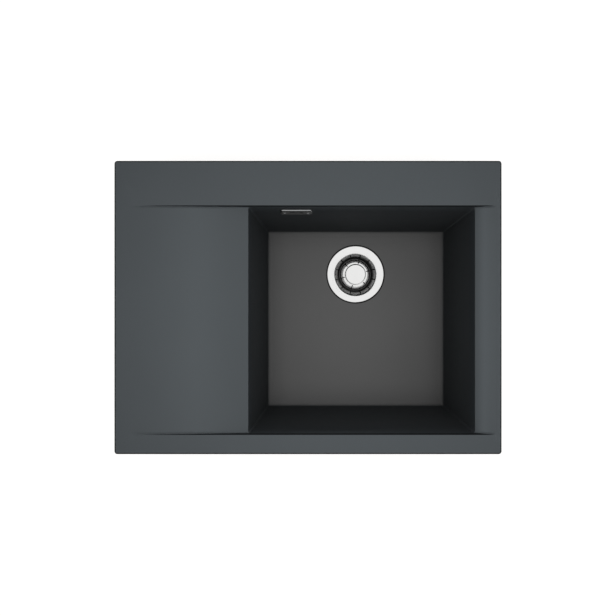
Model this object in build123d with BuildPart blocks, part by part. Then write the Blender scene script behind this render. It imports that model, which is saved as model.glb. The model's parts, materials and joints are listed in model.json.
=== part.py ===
from build123d import *
from math import atan2, cos, degrees, hypot, pi, radians, sin, tan
import os

# Inset kitchen sink with a drainboard on its left, in millimetres.
# Origin: the middle of the worktop cut-out, on the worktop's top face.
# +X runs to the right, +Y to the rear tap ledge and +Z up.

# rim, as seen from above
sink_length = 660.0
sink_width = 500.0
rim_thickness = 9.0
outline_radius = 5.0
rim_edge_radius = 4.0
rim_seat_width = 10.0  # how far the rim lies on the worktop, all round

# bowl, measured where the sunk deck meets it
bowl_length = 389.0
bowl_width = 387.0
bowl_depth = 200.0  # below the rim's top
bowl_draft = 8.0  # degrees that each wall leans in
bowl_right_ledge = 43.5  # from the outline to the bowl's right edge
bowl_front_ledge = 35.0  # from the outline to the bowl's front edge
wall_thickness = 9.0
floor_thickness = 9.0
foot_radius = 9.0  # between the floor and the walls
corner_radius = 3.5  # upright corners of the bowl and edges of the sunk deck
lip_radius = 3.0  # where the sunk deck turns down into the bowl
floor_fall = 2.5  # from the foot of the walls to the waste

# sunk deck: the drainboard on the left, a short slope on the right
deck_thickness = 9.0
deck_fall = 12.0
drainboard_margin = 29.0  # level rim left of the drainboard
slope_margin = 10.0  # level rim right of the short slope
outer_corner_radius = 8.0
outer_lip_radius = 8.0
hollow_over = 6.0  # how far the form that is cut out runs above the rim

# ribs under the drainboard
rib_count = 3
rib_spacing = 110.0
rib_width = 6.0
rib_depth = 11.0

# pre-formed tap hole marks under the rear ledge
tap_mark_radius = 17.5
tap_mark_depth = 6.0
tap_mark_spacing = 221.0
tap_mark_inset = 38.0  # from the rear outline

# foam strip under the rim
strip_inset = 2.0
strip_width = 7.0
strip_height = 2.5
strip_proud = 1.0  # what stands below the rim and lies on the worktop

# fixing clips, each on a screw in an insert under the rim
claw_room = 1.0  # between a stowed claw and the cut-out's edge
clip_end_inset = 95.0  # from the left and right outlines to the first screws of each row
clip_overflow_room = 12.0  # between a screw boss and the overflow's chamber
clip_boss_radius = 6.0
clip_boss_height = 10.0
insert_radius = 3.5
insert_length = 8.0
clip_screw_radius = 2.0
clip_screw_length = 54.0
clip_head_radius = 4.0
clip_head_height = 3.0
claw_sheet = 2.0
claw_width = 12.0
claw_reach = 29.0
claw_rise = 10.0
tooth_depth = 2.5
tooth_count = 3
claw_hole_gap = 0.3
claw_gap = 0.3  # between the claw and the screw's head

# waste: a strainer cup through the floor
waste_back = 86.0  # from the bowl's middle towards the rear
cup_radius = 41.5
cup_sheet = 1.2
cup_lean = 1.5
cup_depth = 38.0
cup_shoulder = 2.5
cup_corner = 7.0
seat_width = 5.5  # level ring round the cup, where the basket's lip lies
seat_step_run = 0.5  # across the step between that seat and the flange
seat_bend = 1.4
flange_bend = 0.3
flange_rim = 7.0  # level flange outside the step
flange_gap = 1.5
waste_hole_gap = 3.5  # between the cup and the hole in the floor
recess_margin = 3.0  # level floor round the recess
recess_depth = 3.0
landing_margin = 9.0  # landing ring outside the waste body's flange
boss_ring_height = 5.0
cup_hole_count = 8
cup_hole_radius = 6.0
cup_hole_ring = 24.0
flange_gasket_height = 1.6
flange_gasket_width = 6.2
gasket_clear = 0.3

# bolt that draws the cup and the waste body together
bolt_radius = 3.0
bolt_length = 24.0
bolt_head_radius = 6.5
bolt_head_height = 4.0
socket_depth = 3.5
bolt_hole_gap = 0.3

# waste body under the bowl
body_gasket_width = 11.0
body_gasket_height = 3.0
body_flange_margin = 3.0  # flange outside the gasket
body_flange_height = 4.0
body_wall = 3.0
drum_gap = 2.5  # between the cup and the drum
body_straight = 44.0  # under the flange
seam_width = 1.5  # of the welded seam between the drum and the tail
seam_height = 2.0
cone_height = 14.0
outlet_radius = 23.9  # G 1 1/2 thread
outlet_wall = 3.9
outlet_length = 24.0
outlet_chamfer = 1.0
hub_radius = 8.0
hub_height = 14.0
spoke_count = 4
spoke_width = 3.0
spoke_height = 10.0
hub_insert_radius = 5.0
hub_insert_length = 12.0
hub_drop = 6.0  # from the cup's floor to the hub

# strainer basket, its knob and its plug ring
basket_sheet = 0.8
lip_gap = 0.5  # under the basket's lip, in its seat
lip_edge_gap = 0.25
shoulder_run = 9.25  # from the lip's edge to where the wall would meet the lip's level
wall_run = 4.85  # how far the wall leans in on its way down
trough_width = 3.9
crown_run = 2.6
basket_depth = 24.0
basket_crown_drop = 6.5
shoulder_bend = 11.0
trough_bend = 1.9
crown_bend = 3.0
slot_width = 2.0
slot_count = 12
slot_turn = 15.0
slot_lip = 7.0  # unslotted lip
long_slot_clear = 1.5  # from the knob's edge to the long slots
knob_radius = 20.0
knob_thickness = 5.0
knob_edge_radius = 1.5
knob_undercut = 2.5
knob_neck_radius = 9.0
knob_rise = 4.0  # above the bowl's floor
stem_radius = 4.0
stem_tip_radius = 3.2
stem_collar_radius = 9.0
stem_collar_height = 1.5
plug_thickness = 3.0
plug_gap = 0.6  # between the plug ring's lip and the cup
plug_lip_width = 8.2
plug_lip_edge = 1.0
plug_lip_drop = 2.0
seat_gap = 0.3  # between the plug's stem and the bolt's head

# overflow in the rear wall
overflow_left = 112.4  # from the bowl's middle towards the left
overflow_drop = 43.0  # below the rim's top
overflow_slot_length = 52.0
overflow_slot_height = 14.0
cover_length = 56.0
cover_height = 27.0
cover_radius = 6.0
cover_thickness = 2.2
cover_skin = 1.0
cover_edge_radius = 0.8
cover_slot_length = 24.0
cover_slot_height = 8.0
cover_screw_spacing = 41.0
cover_screw_radius = 2.4
cover_screw_head = 4.4
cover_screw_length = 23.0
head_gasket = 2.0
head_flange_length = 64.0
head_flange_height = 30.0
head_flange_thickness = 3.0
head_radius = 5.0
head_height = 26.0
head_depth = 31.0
head_wall = 2.5
head_boss_radius = 5.0
head_boss_length = 14.0
spigot_setback = 28.0  # from the wall's inner face to the spigot's axis
spigot_drop = 39.0  # from the overflow's middle to the spigot's mouth

# ribbed hose and its two unions
hose_bore = 9.5
hose_root = 11.0
hose_crest = 13.5
hose_bend = 65.0
rib_pitch = 4.0
rib_crest_share = 0.4  # of the pitch that is the crest's flat
rib_flank_share = 0.2
hose_cuff = 27.0  # straight and unribbed from each mouth
collar_radius = 12.8
collar_thickness = 2.0
spigot_radius = 13.0
spigot_bore = 9.5
cone_ring_height = 3.0
cone_ring_taper = 1.0
nut_radius = 17.5
nut_length = 18.0
nut_end = 2.7
nut_grip_count = 12
nut_grip_height = 1.0
nut_grip_width = 2.5
nut_gap = 0.3
inlet_drop = 42.0  # from the bowl's floor to the inlet's axis
inlet_length = 19.0  # from the drum to the inlet's mouth

fit_gap = 0.05  # radial, where one turned piece sits in another

# places worked out from the sizes
rim_under = strip_proud
rim_top = rim_under + rim_thickness
strip_length = sink_length - 2 * strip_inset
strip_span = sink_width - 2 * strip_inset
lip_z = rim_top - deck_fall
floor_z = rim_top - bowl_depth
bowl_x = sink_length / 2 - bowl_right_ledge - bowl_length / 2
bowl_y = bowl_front_ledge + bowl_width / 2 - sink_width / 2
lean = tan(radians(bowl_draft))
wall_across = wall_thickness / cos(radians(bowl_draft))
drainboard_run = bowl_x + sink_length / 2 - drainboard_margin
slope_run = sink_length / 2 - slope_margin - bowl_x
waste_x = bowl_x
waste_y = bowl_y + waste_back
waste_z = floor_z - floor_fall
waste_hole_radius = cup_radius + waste_hole_gap
seat_radius = cup_radius + seat_width
flange_radius = seat_radius + seat_step_run + flange_rim
body_flange_radius = waste_hole_radius + body_gasket_width + body_flange_margin
landing_radius = body_flange_radius + landing_margin
sink_under = floor_z - floor_thickness
landing_z = sink_under - boss_ring_height
waste_axis = Axis((waste_x, waste_y, 0), (0, 0, 1))
waste_side = Plane(origin=(waste_x, waste_y, waste_z), x_dir=(1, 0, 0), z_dir=(0, -1, 0))


def waste_level(height):
    return Plane((waste_x, waste_y, waste_z + height))


# half the bowl's size at a height, with its leaning walls moved outwards
def reach(half, outwards, height):
    return half + outwards - (lip_z - height) * lean


# the corner between a sunk slope and the wall below it, as (distance from the bowl's middle, height)
def lip_corner(run, half, outwards, below):
    slope = deck_fall / (run - half)
    across = half + outwards - (below - deck_fall + slope * run) * lean
    distance = across / (1 - slope * lean)
    return distance, rim_top - below - slope * (run - distance)


# bowl and sunk deck as one solid: the side view along Y crossed with the end view along X.
# The same form serves as the hollow and, grown by the walls, as the outside.
def basin(top, outwards, below, bottom, lip_blend, foot_blend, corner_blend):
    half = bowl_length / 2
    foot_x = reach(half, outwards, bottom)
    foot_y = reach(bowl_width / 2, outwards, bottom)
    top_y = reach(bowl_width / 2, outwards, top)
    left_lip, left_z = lip_corner(drainboard_run, half, outwards, below)
    right_lip, right_z = lip_corner(slope_run, half, outwards, below)
    over = (top - rim_top + below) / deck_fall
    left_end = drainboard_run + over * (drainboard_run - half)
    right_end = slope_run + over * (slope_run - half)
    with BuildPart() as form:
        with BuildSketch(Plane.XZ) as side:
            with BuildLine():
                Polyline(
                    (bowl_x - left_end, top),
                    (bowl_x - left_lip, left_z),
                    (bowl_x - foot_x, bottom),
                    (bowl_x + foot_x, bottom),
                    (bowl_x + right_lip, right_z),
                    (bowl_x + right_end, top),
                    close=True,
                )
            make_face()
            levels = side.vertices().group_by(Axis.Y)
            feet = levels[0]
            lips = [v for level in levels[1:-1] for v in level]
            fillet(feet, foot_blend)
            fillet(lips, lip_blend)
        extrude(amount=sink_width, both=True)
        with BuildSketch(Plane.YZ) as end:
            with BuildLine():
                Polyline(
                    (bowl_y - top_y, top),
                    (bowl_y - foot_y, bottom),
                    (bowl_y + foot_y, bottom),
                    (bowl_y + top_y, top),
                    close=True,
                )
            make_face()
            fillet(end.vertices().group_by(Axis.Y)[0], foot_blend)
        extrude(amount=sink_length, both=True, mode=Mode.INTERSECT)
        long_edges = form.edges().filter_by(Axis.X) + form.edges().filter_by(Axis.Y)
        top_edges = form.edges().group_by(Axis.Z)[-1]
        seams = [e for e in form.edges() if e not in long_edges and e not in top_edges]
        fillet(seams, corner_blend)
    return form.part


# screw places and the way each clip points when it is turned out
row_step = sink_length / 2 - clip_end_inset
clip_inset = rim_seat_width + claw_room + claw_width / 2
side_x = sink_length / 2 - clip_inset
side_y = sink_width / 2 - clip_inset
overflow_x = bowl_x - overflow_left
rear_middle_x = overflow_x + head_flange_length / 2 + clip_overflow_room + clip_boss_radius
clips = {
    "clip_rear_left": (-row_step, side_y, 90),
    "clip_rear_middle": (rear_middle_x, side_y, 90),
    "clip_rear_right": (row_step, side_y, 90),
    "clip_front_left": (-row_step, -side_y, 270),
    "clip_front_middle": (0.0, -side_y, 270),
    "clip_front_right": (row_step, -side_y, 270),
    "clip_left": (-side_x, 0.0, 180),
    "clip_right": (side_x, 0.0, 0),
}
clip_points = [(x, y) for x, y, turned_out in clips.values()]

# overflow frame: origin on the wall's inner face, x to the right, y up the wall, z into the bowl
overflow_z = rim_top - overflow_drop
overflow_y = bowl_y + reach(bowl_width / 2, 0, overflow_z)
draft = radians(bowl_draft)
overflow_plane = Plane(
    origin=(overflow_x, overflow_y, overflow_z), x_dir=(1, 0, 0), z_dir=(0, -cos(draft), sin(draft))
)
overflow_axis = Axis((0, 0, 0), overflow_plane.z_dir)
screw_points = [(-cover_screw_spacing / 2, 0), (cover_screw_spacing / 2, 0)]

# the sink itself
hollow = basin(rim_top + hollow_over, 0, 0, floor_z, lip_radius, foot_radius, corner_radius)
outside = basin(
    rim_under,
    wall_across,
    deck_thickness,
    sink_under,
    outer_lip_radius,
    foot_radius + wall_thickness,
    outer_corner_radius,
)
with BuildPart() as sink_body:
    with BuildSketch(Plane.XY.offset(rim_under)):
        RectangleRounded(sink_length, sink_width, outline_radius)
    extrude(amount=rim_thickness)
    fillet(sink_body.faces().sort_by(Axis.Z)[-1].edges(), rim_edge_radius)
    add(outside)
    # ribs that run from the rim to the bowl under the drainboard
    rib_start = bowl_x - drainboard_run
    rib_end = bowl_x - reach(bowl_length / 2, wall_thickness / 2, lip_z - rib_depth)
    deck_low = rim_under - deck_fall
    for number in range(rib_count):
        rib_y = bowl_y + (number - (rib_count - 1) / 2) * rib_spacing
        with BuildSketch(Plane.XZ.offset(-rib_y)):
            with BuildLine():
                Polyline(
                    (rib_start, rim_under + deck_thickness / 2),
                    (rib_start, rim_under),
                    (rib_end, deck_low - rib_depth),
                    (rib_end, deck_low + deck_thickness / 2),
                    close=True,
                )
            make_face()
        extrude(amount=rib_width / 2, both=True)
    # bosses for the clip screws
    with BuildSketch(Plane.XY.offset(rim_under - clip_boss_height)):
        with Locations(*clip_points):
            Circle(clip_boss_radius)
    extrude(amount=clip_boss_height + strip_proud)
    # landing ring for the waste body
    with BuildSketch(Plane.XY.offset(landing_z)):
        with Locations((waste_x, waste_y)):
            Circle(landing_radius)
    extrude(amount=boss_ring_height + floor_thickness / 2)
    add(hollow, mode=Mode.SUBTRACT)
    # four shallow falls from the walls to the waste
    flat_length = 2 * (reach(bowl_length / 2, 0, floor_z) - foot_radius)
    flat_width = 2 * (reach(bowl_width / 2, 0, floor_z) - foot_radius)
    recess_radius = flange_radius + flange_gap
    with BuildSketch(Plane.XY.offset(floor_z)):
        with Locations((bowl_x, bowl_y)):
            Rectangle(flat_length, flat_width)
    with BuildSketch(waste_level(0)):
        Rectangle(2 * (recess_radius + recess_margin), 2 * (recess_radius + recess_margin))
    loft(ruled=True, mode=Mode.SUBTRACT)
    # recess and hole of the waste
    with BuildSketch(waste_level(-recess_depth)):
        Circle(recess_radius)
    extrude(amount=recess_depth + floor_fall, mode=Mode.SUBTRACT)
    with BuildSketch(Plane.XY.offset(landing_z)):
        with Locations((waste_x, waste_y)):
            Circle(waste_hole_radius)
    extrude(amount=floor_z - landing_z, mode=Mode.SUBTRACT)
    # overflow opening through the rear wall
    with BuildSketch(overflow_plane.offset(-wall_thickness - deck_thickness)):
        SlotOverall(overflow_slot_length, overflow_slot_height)
    extrude(amount=2 * (wall_thickness + deck_thickness), mode=Mode.SUBTRACT)
    # groove for the foam strip
    with BuildSketch(Plane.XY.offset(rim_under)):
        RectangleRounded(strip_length, strip_span, outline_radius - strip_inset)
        Rectangle(strip_length - 2 * strip_width, strip_span - 2 * strip_width, mode=Mode.SUBTRACT)
    extrude(amount=strip_height - strip_proud, mode=Mode.SUBTRACT)
    # holes for the inserts, and the tap hole marks
    with BuildSketch(Plane.XY.offset(rim_under - clip_boss_height)):
        with Locations(*clip_points):
            Circle(insert_radius + fit_gap)
    extrude(amount=insert_length, mode=Mode.SUBTRACT)
    with BuildSketch(Plane.XY.offset(rim_under)):
        with Locations((bowl_x, sink_width / 2 - tap_mark_inset)):
            Circle(tap_mark_radius)
        with Locations((bowl_x - tap_mark_spacing, sink_width / 2 - tap_mark_inset)):
            Circle(tap_mark_radius)
    extrude(amount=tap_mark_depth, mode=Mode.SUBTRACT)

# foam strip that seals the rim on the worktop
with BuildPart() as rim_seal:
    with BuildSketch(Plane.XY.offset(rim_under - strip_proud)):
        RectangleRounded(strip_length, strip_span, outline_radius - strip_inset)
        Rectangle(strip_length - 2 * strip_width, strip_span - 2 * strip_width, mode=Mode.SUBTRACT)
    extrude(amount=strip_height)

# threaded inserts, one in each boss
insert_z = rim_under - clip_boss_height
with BuildPart() as clip_inserts:
    with BuildSketch(Plane.XY.offset(insert_z)):
        with Locations(*clip_points):
            Circle(insert_radius)
            Circle(clip_screw_radius + fit_gap, mode=Mode.SUBTRACT)
    extrude(amount=insert_length)

# clip screws, hex heads down
screw_top = insert_z + insert_length
screw_bottom = screw_top - clip_screw_length
with BuildPart() as clip_screws:
    with BuildSketch(Plane.XY.offset(screw_bottom)):
        with Locations(*clip_points):
            Circle(clip_screw_radius)
    extrude(amount=clip_screw_length)
    with BuildSketch(Plane.XY.offset(screw_bottom - clip_head_height)):
        with Locations(*clip_points):
            RegularPolygon(clip_head_radius, 6)
    extrude(amount=clip_head_height)


# one clip: a sheet arm with a round end on the screw and a toothed tip turned up
def claw(x, y, turned_out):
    stowed = radians(turned_out - 90)
    arm_plane = Plane((x, y, screw_bottom + claw_gap), x_dir=(cos(stowed), sin(stowed), 0))
    tip_plane = Plane(
        arm_plane.origin + arm_plane.x_dir * claw_reach, x_dir=arm_plane.y_dir, z_dir=arm_plane.x_dir
    )
    tooth_width = claw_width / tooth_count
    tooth_line = claw_rise + claw_sheet - tooth_depth
    with BuildPart() as clip:
        with BuildSketch(arm_plane):
            Circle(claw_width / 2)
            Rectangle(claw_reach, claw_width, align=(Align.MIN, Align.CENTER))
            Circle(clip_screw_radius + claw_hole_gap, mode=Mode.SUBTRACT)
        extrude(amount=claw_sheet)
        # the tip's upper edge is cut into pointed teeth
        with BuildSketch(tip_plane):
            with BuildLine():
                edge = [(-claw_width / 2, 0), (-claw_width / 2, tooth_line)]
                for tooth in range(tooth_count):
                    left = -claw_width / 2 + tooth * tooth_width
                    edge.append((left + tooth_width / 2, tooth_line + tooth_depth))
                    edge.append((left + tooth_width, tooth_line))
                edge.append((claw_width / 2, 0))
                Polyline(*edge, close=True)
            make_face()
        extrude(amount=-claw_sheet)
    return clip.part


clip_parts = {name: claw(*place) for name, place in clips.items()}

# strainer cup: one pressed sheet, from the flange down a step to the basket's seat, the cup and its bolt hole
flange_under = flange_gasket_height - recess_depth
flange_top = flange_under + cup_sheet
seat_depth = basket_sheet + lip_gap
seat_under = flange_under - seat_depth
cup_floor = flange_under - cup_depth
with BuildPart() as waste_flange:
    with BuildSketch(waste_side):
        with BuildLine():
            FilletPolyline(
                (bolt_radius + bolt_hole_gap, cup_floor),
                (cup_radius - cup_lean, cup_floor),
                (cup_radius, seat_under),
                (seat_radius, seat_under),
                (seat_radius + seat_step_run, flange_under),
                (flange_radius, flange_under),
                radius=(cup_corner, cup_shoulder, seat_bend, flange_bend),
            )
            offset(amount=cup_sheet, side=Side.LEFT)
        make_face()
    revolve(axis=waste_axis)
    with BuildSketch(waste_level(cup_floor)):
        with PolarLocations(cup_hole_ring, cup_hole_count):
            Circle(cup_hole_radius)
    extrude(amount=cup_corner, mode=Mode.SUBTRACT)
    top_circles = waste_flange.edges().filter_by(GeomType.CIRCLE).group_by(Axis.Z)[-1]
    fillet(top_circles.sort_by(SortBy.RADIUS)[-1], cup_sheet / 2)

gasket_inner = seat_radius + seat_step_run + gasket_clear
with BuildPart() as flange_gasket:
    with BuildSketch(waste_level(-recess_depth)):
        Circle(gasket_inner + flange_gasket_width)
        Circle(gasket_inner, mode=Mode.SUBTRACT)
    extrude(amount=flange_gasket_height)

# waste bolt: hex head on the cup's floor with a socket for the plug's stem
bolt_seat = cup_floor + cup_sheet
bolt_end = bolt_seat - bolt_length
with BuildPart() as waste_bolt:
    with BuildSketch(waste_level(bolt_seat)):
        RegularPolygon(bolt_head_radius, 6)
    extrude(amount=bolt_head_height)
    with BuildSketch(waste_level(bolt_end)):
        Circle(bolt_radius)
    extrude(amount=bolt_length)
    with BuildSketch(waste_level(bolt_seat + bolt_head_height - socket_depth)):
        Circle(stem_tip_radius + seat_gap)
    extrude(amount=socket_depth, mode=Mode.SUBTRACT)

# waste body: flange and drum, with a hub on spokes for the bolt and the overflow's inlet
body_top = landing_z - waste_z - body_gasket_height
body_radius = cup_radius + drum_gap + body_wall
drum_bottom = body_top - body_flange_height - body_straight
outlet_top = drum_bottom - cone_height
outlet_bottom = outlet_top - outlet_length
drum_bore = body_radius - body_wall
outlet_bore = outlet_radius - outlet_wall
hub_top = cup_floor - hub_drop
hub_bottom = hub_top - hub_height
inlet_z = -inlet_drop
inlet_reach = body_radius + inlet_length
head_spigot_y = overflow_y + spigot_setback * cos(draft)
inlet_angle = degrees(atan2(head_spigot_y - waste_y, overflow_x - waste_x))
inlet_way = Vector(cos(radians(inlet_angle)), sin(radians(inlet_angle)), 0)
waste_point = Vector(waste_x, waste_y, waste_z)
inlet_mouth = waste_point + inlet_way * inlet_reach + Vector(0, 0, inlet_z)
inlet_plane = Plane(origin=inlet_mouth, x_dir=(0, 0, 1), z_dir=inlet_way)
with BuildPart() as waste_body:
    with BuildSketch(waste_side):
        with BuildLine():
            Polyline(
                (drum_bore, body_top),
                (body_flange_radius, body_top),
                (body_flange_radius, body_top - body_flange_height),
                (body_radius, body_top - body_flange_height),
                (body_radius, drum_bottom + seam_height),
                (body_radius + seam_width, drum_bottom + seam_height),
                (body_radius + seam_width, drum_bottom),
                (drum_bore, drum_bottom),
                close=True,
            )
        make_face()
    revolve(axis=waste_axis)
    with BuildSketch(inlet_plane):
        Circle(spigot_radius)
    extrude(amount=-(inlet_reach - drum_bore))
    with BuildSketch(inlet_plane):
        Circle(spigot_bore)
    extrude(amount=-(inlet_reach - drum_bore / 2), mode=Mode.SUBTRACT)
    with BuildSketch(waste_level(hub_bottom)):
        Circle(hub_radius)
    extrude(amount=hub_height)
    with BuildSketch(waste_level(hub_bottom)):
        with PolarLocations(0, spoke_count):
            Rectangle(drum_bore + body_wall / 2, spoke_width, align=(Align.MIN, Align.CENTER))
    extrude(amount=spoke_height)
    with BuildSketch(waste_level(hub_bottom)):
        Circle(hub_insert_radius + fit_gap)
    extrude(amount=hub_height, mode=Mode.SUBTRACT)

# waste tail: welded under the drum, a cone down to the threaded outlet
with BuildPart() as waste_tail:
    with BuildSketch(waste_side):
        with BuildLine():
            Polyline(
                (drum_bore, drum_bottom),
                (body_radius + seam_width, drum_bottom),
                (body_radius + seam_width, drum_bottom - seam_height),
                (body_radius, drum_bottom - seam_height),
                (outlet_radius, outlet_top),
                (outlet_radius, outlet_bottom + outlet_chamfer),
                (outlet_radius - outlet_chamfer, outlet_bottom),
                (outlet_bore, outlet_bottom),
                (outlet_bore, outlet_top),
                close=True,
            )
        make_face()
    revolve(axis=waste_axis)

with BuildPart() as bolt_insert:
    with BuildSketch(waste_level(hub_top - hub_insert_length)):
        Circle(hub_insert_radius)
        Circle(bolt_radius + fit_gap, mode=Mode.SUBTRACT)
    extrude(amount=hub_insert_length)

with BuildPart() as body_gasket:
    with BuildSketch(waste_level(body_top)):
        Circle(waste_hole_radius + body_gasket_width)
        Circle(waste_hole_radius, mode=Mode.SUBTRACT)
    extrude(amount=body_gasket_height)

# strainer basket: a pressed sheet whose lip lies flush in the flange's seat and rolls down into a trough
# round a raised crown, with radial slots
crown_z = -basket_crown_drop
step_turn = atan2(seat_depth, seat_step_run) / 2
basket_lip_radius = seat_radius - cup_sheet * tan(step_turn) - lip_edge_gap
basket_wall_radius = basket_lip_radius - shoulder_run
trough_outer = basket_wall_radius - wall_run
trough_inner = trough_outer - trough_width
crown_radius = trough_inner - crown_run
slot_outer_radius = basket_lip_radius - slot_lip
long_slot_inner_radius = knob_radius + long_slot_clear
short_slot_inner_radius = trough_outer
with BuildPart() as basket:
    with BuildSketch(waste_side):
        with BuildLine():
            FilletPolyline(
                (basket_lip_radius, flange_top),
                (basket_wall_radius, flange_top),
                (trough_outer, -basket_depth),
                (trough_inner, -basket_depth),
                (crown_radius, crown_z),
                (stem_radius + fit_gap, crown_z),
                radius=(shoulder_bend, trough_bend, trough_bend, crown_bend),
            )
            offset(amount=basket_sheet, side=Side.LEFT)
        make_face()
    revolve(axis=waste_axis)
    for number in range(slot_count):
        inner = long_slot_inner_radius if number % 2 == 0 else short_slot_inner_radius
        turn = slot_turn + number * 360 / slot_count
        with BuildSketch(waste_level(-basket_depth - basket_sheet)):
            with PolarLocations((inner + slot_outer_radius) / 2, 1, start_angle=turn):
                Rectangle(slot_outer_radius - inner, slot_width)
        extrude(amount=basket_depth + 2 * basket_sheet, mode=Mode.SUBTRACT)

# knob: a mushroom on a neck, its underside hollowed for the fingertips
with BuildPart() as basket_knob:
    with BuildSketch(waste_side):
        with BuildLine():
            Polyline(
                (stem_radius + fit_gap, crown_z),
                (knob_neck_radius, crown_z),
                (knob_neck_radius, knob_rise - knob_thickness + knob_undercut),
                (knob_radius, knob_rise - knob_thickness),
                (knob_radius, knob_rise),
                (0, knob_rise),
                (0, knob_rise - knob_undercut),
                (stem_radius + fit_gap, knob_rise - knob_undercut),
                close=True,
            )
        make_face()
    revolve(axis=waste_axis)
    fillet(basket_knob.faces().sort_by(Axis.Z)[-1].edges(), knob_edge_radius)

# stem: riveted through the crown, with a collar over the plug ring and a nut under it
stem_top = knob_rise - knob_undercut - seat_gap
nut_bottom = bolt_seat + bolt_head_height + seat_gap
plug_under = nut_bottom + stem_collar_height
plug_top = plug_under + plug_thickness
tip_bottom = bolt_seat + bolt_head_height - socket_depth + seat_gap
with BuildPart() as basket_stem:
    with BuildSketch(waste_level(plug_under)):
        Circle(stem_radius)
    extrude(amount=stem_top - plug_under)
    with BuildSketch(waste_level(plug_top)):
        Circle(stem_collar_radius)
    extrude(amount=stem_collar_height)
    with BuildSketch(waste_level(nut_bottom)):
        Circle(stem_collar_radius)
    extrude(amount=stem_collar_height)
    with BuildSketch(waste_level(tip_bottom)):
        Circle(stem_tip_radius)
    extrude(amount=nut_bottom - tip_bottom)

# plug ring: a rubber disc whose lip flares to the cup's wall
plug_lip_radius = cup_radius - cup_lean - cup_sheet - plug_gap
plug_flat_radius = plug_lip_radius - plug_lip_width
with BuildPart() as basket_seal:
    with BuildSketch(waste_side):
        with BuildLine():
            Polyline(
                (stem_radius + fit_gap, plug_top),
                (plug_flat_radius, plug_top),
                (plug_lip_radius, plug_top - plug_lip_drop),
                (plug_lip_radius - plug_lip_edge, plug_under - plug_lip_edge),
                (plug_flat_radius, plug_under),
                (stem_radius + fit_gap, plug_under),
                close=True,
            )
        make_face()
    revolve(axis=waste_axis)

# overflow cover: a shallow pressed pan, open at the back, with a slot between its two screws
pan_length = cover_length - 2 * cover_skin
pan_height = cover_height - 2 * cover_skin
with BuildPart() as overflow_cover:
    with BuildSketch(overflow_plane):
        RectangleRounded(cover_length, cover_height, cover_radius)
    extrude(amount=cover_thickness)
    fillet(overflow_cover.faces().sort_by(overflow_axis)[-1].edges(), cover_edge_radius)
    with BuildSketch(overflow_plane):
        RectangleRounded(pan_length, pan_height, cover_radius - cover_skin)
    extrude(amount=cover_thickness - cover_skin, mode=Mode.SUBTRACT)
    with BuildSketch(overflow_plane):
        SlotOverall(cover_slot_length, cover_slot_height)
        with Locations(*screw_points):
            Circle(cover_screw_radius + fit_gap)
    extrude(amount=cover_thickness, mode=Mode.SUBTRACT)

with BuildPart() as overflow_screws:
    with BuildSketch(overflow_plane.offset(cover_thickness)):
        with Locations(*screw_points):
            Circle(cover_screw_head)
    extrude(amount=cover_skin)
    fillet(overflow_screws.faces().group_by(overflow_axis)[-1].edges(), cover_skin / 2)
    with BuildSketch(overflow_plane.offset(cover_thickness)):
        with Locations(*screw_points):
            Circle(cover_screw_radius)
    extrude(amount=-cover_screw_length)

with BuildPart() as overflow_gasket:
    with BuildSketch(overflow_plane.offset(-wall_thickness)):
        RectangleRounded(head_flange_length, head_flange_height, head_radius)
        SlotOverall(overflow_slot_length, overflow_slot_height, mode=Mode.SUBTRACT)
    extrude(amount=-head_gasket)

# overflow chamber behind the wall, with screw bosses inside and a spigot straight down
head_front = overflow_plane.offset(-wall_thickness - head_gasket)
head_length = cover_screw_spacing + 2 * head_boss_radius + head_wall
spigot_z = overflow_z - spigot_drop
with BuildPart() as overflow_head:
    with BuildSketch(head_front):
        RectangleRounded(head_flange_length, head_flange_height, head_radius)
    extrude(amount=-head_flange_thickness)
    with BuildSketch(head_front):
        RectangleRounded(head_length, head_height, head_radius)
    extrude(amount=-head_depth)
    with BuildSketch(Plane.XY.offset(spigot_z)):
        with Locations((overflow_x, head_spigot_y)):
            Circle(spigot_radius)
    extrude(amount=spigot_drop)
    with BuildSketch(head_front):
        RectangleRounded(head_length - 2 * head_wall, head_height - 2 * head_wall, head_radius - head_wall)
    extrude(amount=head_wall - head_depth, mode=Mode.SUBTRACT)
    with BuildSketch(Plane.XY.offset(spigot_z)):
        with Locations((overflow_x, head_spigot_y)):
            Circle(spigot_bore)
    extrude(amount=spigot_drop, mode=Mode.SUBTRACT)
    with BuildSketch(head_front):
        with Locations(*screw_points):
            Circle(head_boss_radius)
    extrude(amount=-head_boss_length)
    with BuildSketch(head_front):
        with Locations(*screw_points):
            Circle(cover_screw_radius + fit_gap)
    extrude(amount=-head_boss_length, mode=Mode.SUBTRACT)

# hose route: straight down from the chamber, one bend, straight in to the waste body
hose_top = Vector(overflow_x, head_spigot_y, spigot_z - cone_ring_height)
hose_end = inlet_mouth + inlet_way * cone_ring_height
hose_corner = Vector(overflow_x, head_spigot_y, hose_end.Z)
hose_square = Vector(-inlet_way.Y, inlet_way.X, 0)  # level, square to the plane of the bend
drop_run = hose_top.Z - hose_corner.Z - hose_bend
level_run = hypot(hose_corner.X - hose_end.X, hose_corner.Y - hose_end.Y) - hose_bend
bend_run = hose_bend * pi / 2
hose_run = drop_run + bend_run + level_run


# the plane square to the hose at a distance from its top
def hose_frame(distance):
    turn = min(max((distance - drop_run) / hose_bend, 0.0), pi / 2)
    before = min(distance, drop_run)
    after = max(distance - drop_run - bend_run, 0.0)
    sideways = hose_bend * (1 - cos(turn)) + after
    down = before + hose_bend * sin(turn)
    point = hose_top - inlet_way * sideways - Vector(0, 0, down)
    way = -inlet_way * sin(turn) - Vector(0, 0, cos(turn))
    return Plane(origin=point, x_dir=hose_square, z_dir=way)


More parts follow.
